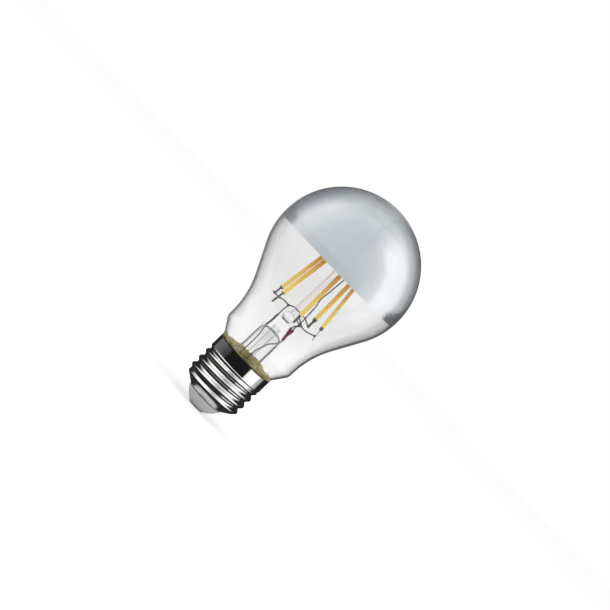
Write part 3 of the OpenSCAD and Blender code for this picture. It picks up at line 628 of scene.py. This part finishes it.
wire("left_feed_wire", [(bent([(-left_seal_x, 0, press_z - rim_t - seat), (-left_seal_x, 0, press_z - 2 * rim_t),
                               (left_feed_x, -wire_r, press_z - 0.34 * tube_len), (left_feed_x, -wire_r, board_top + 0.28 * tube_len),
                               (left_feed_x, -face_y - wire_r, board_top + 1.2), (left_feed_x, -face_y - wire_r, board_top - 1.2)]), False)],
     "left_feed_wire", feed_metal)
wire("right_feed_wire", [(bent([(right_seal_x, 0, press_z - rim_t - seat), (right_seal_x, 0, press_z - 2 * rim_t), in_tube(0.095, 0.152, 0.205),
                                in_tube(0.419, 0.381, 0.301), in_tube(0.581, 0.495, 0.455), in_tube(0.743, 0.533, 0.625),
                                (right_seal_x - 0.743 * stem_r, -0.533 * stem_r, board_top + 0.17 * tube_len),
                                (1.8, -face_y - wire_r, board_top + 0.8), (1.8, -face_y - wire_r, board_top - 1.2)]), False)],
     "right_feed_wire", feed_metal)

# Each filament is a narrow strip of 28 tiny chips, dipped all round in yellow
# silicone. Its two ends are left bare, and it leans in towards the top ring.
strip_w, strip_t = 1.8, 1.5
chips = 28
silicone, tree, shade = new_finish("phosphor_silicone")
along = tree.nodes.new("ShaderNodeAttribute")
along.attribute_name = "along"
tip = tree.nodes.new("ShaderNodeAttribute")
tip.attribute_name = "bare_tip"
# Painted shade: the silicone darkens from yellow at its foot to deep orange at its top, under the crown; the chip rows
# and mottle are its own.
body = shades(tree, along.outputs["Fac"], [(0.0, (0.94, 0.70, 0.15)), (0.16, (0.92, 0.63, 0.11)), (0.34, (0.80, 0.43, 0.06)),
                                         (0.54, (0.60, 0.25, 0.03)), (1.0, (0.60, 0.25, 0.03))], "LINEAR")
row = calc(tree, "SINE", calc(tree, "MULTIPLY", along.outputs["Fac"], math.tau * chips))
body = blend(tree, calc(tree, "MULTIPLY", calc(tree, "ADD", row, 1.0), 0.10), body, (1.0, 0.84, 0.36))
body = blend(tree, calc(tree, "MULTIPLY", grained(tree, 1500.0, 0.0, 1.0), 0.16), body, (0.72, 0.36, 0.04))
bare = calc(tree, "LESS_THAN", along.outputs["Fac"], tip.outputs["Fac"])
tree.links.new(blend(tree, bare, body, blend(tree, grained(tree, 2500.0, 0.0, 1.0), (0.07, 0.065, 0.035), (0.20, 0.17, 0.08))), shade.inputs["Base Color"])
# A painted glow: the silicone emits a weak light of its own colour, though the filaments are not lit.
tree.links.new(blend(tree, bare, body, (0.0, 0.0, 0.0)), shade.inputs["Emission Color"])
shade.inputs["Emission Strength"].default_value = 0.30
tree.links.new(grained(tree, 2200.0, 0.34, 0.5), shade.inputs["Roughness"])
bumped(tree, shade, grained(tree, 2600.0, 0.0, 1.0), 0.00004, 0.3)

stations = [(0.0, 0.0), (0.02, 0.62), (0.18, 0.86), (0.5, 0.97)] + [(0.9 + 36.2 * i / 168, None) for i in range(169)]
stations += [(strip_len - 0.5, 0.97), (strip_len - 0.18, 0.86), (strip_len - 0.02, 0.62), (strip_len, 0.0)]
points, faces, values, steps = [], [], [], 20
for z, size in stations:
    if size is None:
        size = 0.985 + 0.015 * math.cos(math.tau * chips * z / strip_len)
    for k in range(steps):
        c, s = math.cos(math.tau * k / steps), math.sin(math.tau * k / steps)
        points.append((c * size * strip_t / 2 * MM, (s * strip_t / 2 + math.copysign((strip_w - strip_t) / 2, s) * min(1, abs(s) * 4)) * size * MM, z * MM))
        values.append(z / strip_len)
for i in range(len(stations) - 1):
    for k in range(steps):
        a, b = i * steps + k, i * steps + (k + 1) % steps
        faces.append((a, b, b + steps, a + steps))
strip_mesh = bpy.data.meshes.new("strip")
strip_mesh.from_pydata(points, [], faces)
strip_mesh.attributes.new("along", "FLOAT", "POINT").data.foreach_set("value", values)
work = bmesh.new()
work.from_mesh(strip_mesh)
bmesh.ops.remove_doubles(work, verts=work.verts, dist=1e-8)
bmesh.ops.recalc_face_normals(work, faces=work.faces)
work.to_mesh(strip_mesh)
work.free()
one_strip = bpy.data.objects.new("one_strip", strip_mesh)
scene.collection.objects.link(one_strip)

planted = bpy.data.node_groups.new("set_on_points", "GeometryNodeTree")
planted.interface.new_socket("Geometry", in_out="INPUT", socket_type="NodeSocketGeometry")
planted.interface.new_socket("Piece", in_out="INPUT", socket_type="NodeSocketObject")
planted.interface.new_socket("Finish", in_out="INPUT", socket_type="NodeSocketMaterial")
planted.interface.new_socket("Geometry", in_out="OUTPUT", socket_type="NodeSocketGeometry")
enter, leave = planted.nodes.new("NodeGroupInput"), planted.nodes.new("NodeGroupOutput")
fetch = planted.nodes.new("GeometryNodeObjectInfo")
turned = planted.nodes.new("GeometryNodeInputNamedAttribute")
turned.data_type = "FLOAT_VECTOR"
turned.inputs["Name"].default_value = "turned"
sized = planted.nodes.new("GeometryNodeInputNamedAttribute")
sized.data_type = "FLOAT_VECTOR"
sized.inputs["Name"].default_value = "sized"
plant = planted.nodes.new("GeometryNodeInstanceOnPoints")
real = planted.nodes.new("GeometryNodeRealizeInstances")
coat = planted.nodes.new("GeometryNodeSetMaterial")
planted.links.new(enter.outputs["Piece"], fetch.inputs["Object"])
planted.links.new(enter.outputs["Geometry"], plant.inputs["Points"])
planted.links.new(fetch.outputs["Geometry"], plant.inputs["Instance"])
planted.links.new(turned.outputs["Attribute"], plant.inputs["Rotation"])
planted.links.new(sized.outputs["Attribute"], plant.inputs["Scale"])
planted.links.new(plant.outputs[0], real.inputs[0])
planted.links.new(real.outputs[0], coat.inputs["Geometry"])
planted.links.new(enter.outputs["Finish"], coat.inputs["Material"])
planted.links.new(coat.outputs[0], leave.inputs["Geometry"])


def set_out(name, places, piece, material, extra=None):
    """Copies of one piece at places given as (point in mm, turns, scale)."""
    marks = bpy.data.meshes.new(name + "_marks")
    marks.from_pydata([Vector(p) * MM for p, _, _ in places], [], [])
    marks.attributes.new("turned", "FLOAT_VECTOR", "POINT").data.foreach_set("vector", [v for _, t, _ in places for v in t])
    marks.attributes.new("sized", "FLOAT_VECTOR", "POINT").data.foreach_set("vector", [v for _, _, s in places for v in s])
    if extra:
        marks.attributes.new(extra[0], "FLOAT", "POINT").data.foreach_set("value", extra[1])
    source = bpy.data.objects.new(name + "_marks", marks)
    scene.collection.objects.link(source)
    made = settle(source, name, planted, {"Piece": piece, "Finish": material}, 60)
    bpy.data.objects.remove(piece)
    return made


filaments = set_out("filaments", [(strip_foot(i), (0, *strip_turns(i)), (1, 1, 1)) for i in range(6)], one_strip, silicone,
                    ("bare_tip", [0.022, 0.012, 0.010, 0.042, 0.040, 0.015]))
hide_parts(*[f"filament_{i}" for i in range(1, 7)])
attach(filaments, "root")

# A tab of rolled metal strip is crimped in each end of a filament, and a spot
# weld joins each lower tab to its wire. The leads are welded on in the same way.
rolled, tree, shade = new_finish("rolled_tab")
shade.inputs["Metallic"].default_value = 1.0
tree.links.new(blend(tree, grained(tree, 700.0, 0.0, 1.0), (0.15, 0.145, 0.135), (0.28, 0.27, 0.25)), shade.inputs["Base Color"])
tree.links.new(grained(tree, 2500.0, 0.3, 0.48), shade.inputs["Roughness"])


def dress(node, material):
    """Gives a CAD node its finish."""
    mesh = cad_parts[node].data
    mesh.materials.clear()
    mesh.materials.append(material)


dress("filament_tabs", rolled)
weld_mesh = bpy.data.meshes.new("weld")
work = bmesh.new()
bmesh.ops.create_icosphere(work, subdivisions=3, radius=1.0)
for vertex in work.verts:
    vertex.co *= (1 + 0.07 * math.sin(5 * vertex.co.x + 3 * vertex.co.z) + 0.05 * math.cos(6 * vertex.co.y)) * MM
work.to_mesh(weld_mesh)
work.free()
one_weld = bpy.data.objects.new("one_weld", weld_mesh)
scene.collection.objects.link(one_weld)
spots = [(beside(i), (0, *strip_turns(i)), (0.38, 0.5, 0.46)) for i in range(6)]
spots += [(left_knot + Vector((0, 0, -0.2)), (0.3, 0.2, 0), (0.5, 0.5, 0.62)), (right_knot + Vector((-0.1, 0.2, -0.3)), (0, 0.3, 0.4), (0.62, 0.58, 0.66)),
          (right_knot + Vector((0.6, 0.5, 0.05)), (0, 0, 0), (0.42, 0.5, 0.42))]
spots += [(strip_foot(i) + strip_way(i) * (1 + (1.3 + strip_low[i]) / strip_len), (0, *strip_turns(i)), (0.34, 0.5, 0.4)) for i in range(6)]
welds = set_out("weld_spots", spots, one_weld, dark_wire)
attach(welds, "root")

# The shell of the cap is one piece of thin plated sheet, drawn into a cup, with
# its knuckle thread rolled in. The collar is left plain and carries the cement.
thread_d, thread_depth, pitch, thread_start = 26.05, 1.15, 3.629, 2.02
sheet, collar_h, collar_r, bead = 0.3, 5.6, 12.85, 0.22
base_r, base_slope, lip_r, lip_z = 2.5, 55.0, 7.6, 5.0
mean_r = thread_d / 2 - thread_depth / 2
collar_z = cap_h - collar_h
cone_h = (mean_r - base_r * (1 - cosine(base_slope)) - lip_r) / math.tan(math.radians(base_slope))
base_z = lip_z + cone_h + base_r * sine(base_slope)

plated, tree, shade = new_finish("plated_sheet")
shade.inputs["Metallic"].default_value = 1.0
tree.links.new(blend(tree, grained(tree, 350.0, 0.0, 1.0), (0.72, 0.71, 0.705), (0.82, 0.815, 0.81)), shade.inputs["Base Color"])
tree.links.new(grained(tree, 1500.0, 0.06, 0.12), shade.inputs["Roughness"])
bumped(tree, shade, grained(tree, 700.0, 0.0, 1.0), 0.00004, 0.12)

levels = [(lip_r + (mean_r - base_r * (1 - cosine(base_slope)) - lip_r) * i / 8, lip_z + cone_h * i / 8, base_slope) for i in range(8)]
for i in range(12):
    slope = base_slope * (1 - i / 12)
    levels.append((mean_r - base_r * (1 - cosine(slope)), base_z - base_r * sine(slope), slope))
levels += [(mean_r, base_z + (collar_z - 0.5 - base_z) * i / 130, 0.0) for i in range(131)]
levels += [(collar_r + 0.6 * bead * (1 - math.cos(math.tau * i / 12)) / 2, collar_z - 0.2 + 0.6 * i / 12, 0.0) for i in range(13)]
levels += [(collar_r, collar_z + 0.5, 0.0), (collar_r, collar_z + 0.7, 0.0), (collar_r, cap_h - 0.7, 0.0), (collar_r, cap_h - 0.5, 0.0), (collar_r + 0.05, cap_h - 0.18, 0.0), (collar_r + 0.12, cap_h, 0.0)]
skin = [(r, z) for r, z, _ in levels] + [(r - sheet * cosine(a), z + sheet * sine(a)) for r, z, a in levels[::-1]]
shell_source = lathe("shell_blank", skin, plated)
fade = [max(0.0, min(1.0, (v.co.z / MM - base_z + 2.0) / 2.0, (collar_z - 0.3 - v.co.z / MM) / 1.3)) for v in shell_source.data.vertices]
shell_source.data.attributes.new("thread_in", "FLOAT", "POINT").data.foreach_set("value", fade)

rolled_in = bpy.data.node_groups.new("rolled_thread", "GeometryNodeTree")
rolled_in.interface.new_socket("Geometry", in_out="INPUT", socket_type="NodeSocketGeometry")
rolled_in.interface.new_socket("Thread depth", in_out="INPUT", socket_type="NodeSocketFloat").default_value = thread_depth * MM
rolled_in.interface.new_socket("Pitch", in_out="INPUT", socket_type="NodeSocketFloat").default_value = pitch * MM
rolled_in.interface.new_socket("Crest height", in_out="INPUT", socket_type="NodeSocketFloat").default_value = thread_start * MM
rolled_in.interface.new_socket("Metal", in_out="INPUT", socket_type="NodeSocketMaterial")
rolled_in.interface.new_socket("Geometry", in_out="OUTPUT", socket_type="NodeSocketGeometry")
enter, leave = rolled_in.nodes.new("NodeGroupInput"), rolled_in.nodes.new("NodeGroupOutput")
where = rolled_in.nodes.new("GeometryNodeInputPosition")
split = rolled_in.nodes.new("ShaderNodeSeparateXYZ")
rolled_in.links.new(where.outputs[0], split.inputs[0])
turns = calc(rolled_in, "DIVIDE", calc(rolled_in, "SUBTRACT", split.outputs["Z"], enter.outputs["Crest height"]), enter.outputs["Pitch"])
phase = calc(rolled_in, "SUBTRACT", calc(rolled_in, "ARCTAN2", split.outputs["Y"], split.outputs["X"]), calc(rolled_in, "MULTIPLY", turns, math.tau))
fading = rolled_in.nodes.new("GeometryNodeInputNamedAttribute")
fading.data_type = "FLOAT"
fading.inputs["Name"].default_value = "thread_in"
wave = calc(rolled_in, "MULTIPLY", calc(rolled_in, "COSINE", phase), calc(rolled_in, "MULTIPLY", enter.outputs["Thread depth"], 0.5))
flat = rolled_in.nodes.new("ShaderNodeCombineXYZ")
rolled_in.links.new(split.outputs["X"], flat.inputs["X"])
rolled_in.links.new(split.outputs["Y"], flat.inputs["Y"])
outward = rolled_in.nodes.new("ShaderNodeVectorMath")
outward.operation = "NORMALIZE"
rolled_in.links.new(flat.outputs[0], outward.inputs[0])
push = rolled_in.nodes.new("ShaderNodeVectorMath")
push.operation = "SCALE"
rolled_in.links.new(outward.outputs[0], push.inputs[0])
rolled_in.links.new(calc(rolled_in, "MULTIPLY", wave, fading.outputs["Attribute"]), push.inputs["Scale"])
move = rolled_in.nodes.new("GeometryNodeSetPosition")
real = rolled_in.nodes.new("GeometryNodeRealizeInstances")
coat = rolled_in.nodes.new("GeometryNodeSetMaterial")
rolled_in.links.new(enter.outputs["Geometry"], move.inputs["Geometry"])
rolled_in.links.new(push.outputs[0], move.inputs["Offset"])
rolled_in.links.new(move.outputs[0], real.inputs[0])
rolled_in.links.new(real.outputs[0], coat.inputs["Geometry"])
rolled_in.links.new(enter.outputs["Metal"], coat.inputs["Material"])
rolled_in.links.new(coat.outputs[0], leave.inputs["Geometry"])
shell = settle(shell_source, "cap_shell", rolled_in, {"Metal": plated}, 40)
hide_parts("screw_shell")
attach(shell, "root")

# Olive cement fills the gap between the glass foot and the collar. It has been
# spread with a spatula and baked, so its upper edge is a little uneven.
cement, tree, shade = new_finish("baked_cement")
mottle = grained(tree, 520.0, 0.0, 1.0, 8.0)
painted_light_inside = tree.nodes.new("ShaderNodeAttribute")
painted_light_inside.attribute_name = "painted_light_inside"
# Painted light: the rows behind the glass get a lighter copy of the olive and a painted glow, the front band a darker
# copy; the mottle is the cement's own.
tree.links.new(blend(tree, painted_light_inside.outputs["Fac"], blend(tree, mottle, (0.10, 0.085, 0.03), (0.44, 0.39, 0.18)), blend(tree, mottle, (0.40, 0.33, 0.07), (0.80, 0.71, 0.25))),
               shade.inputs["Base Color"])
tree.links.new(blend(tree, painted_light_inside.outputs["Fac"], (0.0, 0.0, 0.0), blend(tree, mottle, (0.24, 0.20, 0.06), (0.46, 0.40, 0.16))), shade.inputs["Emission Color"])
shade.inputs["Emission Strength"].default_value = 0.5
tree.links.new(grained(tree, 3000.0, 0.6, 0.85), shade.inputs["Roughness"])
bumped(tree, shade, grained(tree, 3500.0, 0.0, 1.0, 6.0), 0.00008, 0.6)
cement_r, cement_w, cement_h, cement_t = collar_r - sheet - 2 * seat, 1.8, 1.6, 0.3
slant = math.tan(math.radians(shoulder_slope))


def shoulder_at(z):
    return foot_r + (z - foot_z) * slant


def uneven(k, steps):
    turn = math.tau * k / steps
    return 0.5 + 0.22 * math.sin(3 * turn + 0.7) + 0.16 * math.sin(7 * turn + 2.1) + 0.12 * math.sin(13 * turn + 4)


steps = 144
rows = [ring(cement_r - cement_w, foot_z - 2.5, steps), ring(cement_r, foot_z - 2.5, steps), ring(cement_r, cap_h + seat, steps)]
rows += [ring(max(collar_r, shoulder_at(cap_h) + cement_t), cap_h + seat, steps)]
for share, thick in ((0.25, 1.0), (0.5, 0.85), (0.8, 0.55), (1.0, 0.2)):
    row = []
    for k in range(steps):
        z = cap_h + share * (cement_h - 1.5 * uneven(k, steps))
        r = shoulder_at(z) + seat + (cement_t - seat) * thick * (0.85 + 0.15 * uneven(k * 2, steps))
        row.append((r * math.cos(math.tau * k / steps), r * math.sin(math.tau * k / steps), z))
    rows.append(row)
row = []
for k in range(steps):
    z = cap_h + cement_h - 1.5 * uneven(k, steps)
    r = shoulder_at(z) + seat
    row.append((r * math.cos(math.tau * k / steps), r * math.sin(math.tau * k / steps), z))
rows += [row, ring(shoulder_at(foot_z - seat) + seat, foot_z - seat, steps), ring(cement_r - cement_w, foot_z - seat, steps)]
cement_ring = rings_mesh("cement_ring", rows, cement, 50)
# Marks the rows behind the glass that take the painted light and glow.
painted_light_rows = [float(i > 7 or i == 0) for i, row in enumerate(rows) for _ in row]
cement_ring.data.attributes.new("painted_light_inside", "FLOAT", "POINT").data.foreach_set("value", painted_light_rows)
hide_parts("capping_cement")
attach(cement_ring, "root")

# The insulator is moulded in pale grey resin, with a soft edge, and the lip of
# the shell closes round it. The contact is a flat-headed pin pressed through it.
resin, tree, shade = new_finish("grey_resin")
tree.links.new(blend(tree, grained(tree, 900.0, 0.0, 1.0, 5.0), (0.55, 0.55, 0.545), (0.68, 0.68, 0.67)), shade.inputs["Base Color"])
tree.links.new(grained(tree, 2200.0, 0.48, 0.66), shade.inputs["Roughness"])
bumped(tree, shade, grained(tree, 4500.0, 0.0, 1.0), 0.00003, 0.35)
contact_t, shank_r, plug_z = 0.7, 1.1, lip_z + 2.2
plug_r = lip_r - sheet - 2 * seat
insulator = lathe("insulator", [(shank_r + seat, contact_t + seat), (4.1, contact_t + seat), (4.38, contact_t + seat + 0.1), (4.75, 1.15), (5.35, 1.65),
                                (6.15, 2.42), (6.85, 3.2), (7.42, 3.9), (7.78, 4.32), (lip_r + 0.3, lip_z - 0.5), (lip_r + 0.3, lip_z - seat),
                                (plug_r, lip_z - seat), (plug_r, plug_z), (shank_r + seat, plug_z)], resin, 128, 30)
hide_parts("cap_insulator")
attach(insulator, "root")

pressed, tree, shade = new_finish("pressed_contact")
shade.inputs["Metallic"].default_value = 1.0
tree.links.new(blend(tree, grained(tree, 800.0, 0.0, 1.0, 5.0), (0.50, 0.49, 0.47), (0.68, 0.67, 0.65)), shade.inputs["Base Color"])
tree.links.new(grained(tree, 1800.0, 0.24, 0.42), shade.inputs["Roughness"])
bumped(tree, shade, grained(tree, 2500.0, 0.0, 1.0), 0.00003, 0.3)
contact = lathe("contact_pin", [(0.0, 0.12), (0.9, 0.12), (1.25, 0.05), (1.5, 0.0), (3.1, 0.0)] + arc(3.15, 0.35, 0.35, -90, 0, 6)
                + [(3.5, contact_t - 0.08), (3.42, contact_t), (shank_r, contact_t), (shank_r, plug_z + 0.6), (shank_r - 0.2, plug_z + 0.8),
                   (0.0, plug_z + 0.8)], pressed, 96, 30)
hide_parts("centre_contact")
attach(contact, "root")

# The driver stands in the cap: a glass-fibre board with its moulded, wound and
# sleeved components. Three short tinned wires join it to the contact and shell.
board, tree, shade = new_finish("board_laminate")
tree.links.new(blend(tree, grained(tree, 2400.0, 0.0, 1.0), (0.02, 0.10, 0.04), (0.05, 0.17, 0.07)), shade.inputs["Base Color"])
tree.links.new(grained(tree, 1500.0, 0.3, 0.45), shade.inputs["Roughness"])
dress("driver_board", board)
moulded, tree, shade = new_finish("black_moulding")
tree.links.new(blend(tree, grained(tree, 3000.0, 0.0, 1.0), (0.012, 0.012, 0.013), (0.035, 0.035, 0.036)), shade.inputs["Base Color"])
tree.links.new(grained(tree, 3000.0, 0.45, 0.7), shade.inputs["Roughness"])
for node in ("bridge_rectifier", "driver_ic", "inductor"):
    dress(node, moulded)
sleeve, tree, shade = new_finish("shrunk_sleeve")
tree.links.new(blend(tree, grained(tree, 1200.0, 0.0, 1.0), (0.010, 0.012, 0.04), (0.03, 0.03, 0.07)), shade.inputs["Base Color"])
tree.links.new(grained(tree, 1800.0, 0.25, 0.4), shade.inputs["Roughness"])
dress("smoothing_capacitor", sleeve)
lacquer, tree, shade = new_finish("resistor_lacquer")
tree.links.new(blend(tree, grained(tree, 1800.0, 0.0, 1.0), (0.16, 0.30, 0.34), (0.24, 0.40, 0.44)), shade.inputs["Base Color"])
tree.links.new(grained(tree, 2500.0, 0.35, 0.5), shade.inputs["Roughness"])
dress("fusible_resistor", lacquer)
resistor_x, resistor_y, resistor_z, resistor_len = 4.6, 4.6, board_z + 1.2, 6.0
wire("contact_wire", [(bent([(resistor_x, resistor_y, resistor_z - seat), (resistor_x, resistor_y, board_z - 0.8),
                             (0.5, shank_r + wire_r + 2 * seat, plug_z + 0.5), (-0.5, shank_r + wire_r + 2 * seat, plug_z + 0.5)]), False)],
     "contact_wire", feed_metal)
wire("resistor_wire", [(bent([(resistor_x, resistor_y, resistor_z + resistor_len + seat), (resistor_x, resistor_y, resistor_z + resistor_len + 1.4),
                              (resistor_x + 2 * wire_r, face_y + wire_r, resistor_z + resistor_len + 1.8),
                              (resistor_x + 2 * wire_r, face_y + wire_r, resistor_z + resistor_len + 0.6)]), False)],
     "resistor_wire", feed_metal)
root_r, cement_foot = thread_d / 2 - thread_depth - sheet, foot_z - 2.5
wire("shell_wire", [(bent([(board_w / 2 - 1, -face_y - wire_r, board_top - 2.4), (board_w / 2 - 1, -face_y - wire_r, cement_foot - 4 * wire_r),
                           (root_r - 3 * wire_r, -0.7, cement_foot - 4 * wire_r), (root_r - wire_r - 2 * seat, -0.6, cement_foot - 2 * cement_w)]), False)],
     "shell_wire", feed_metal)
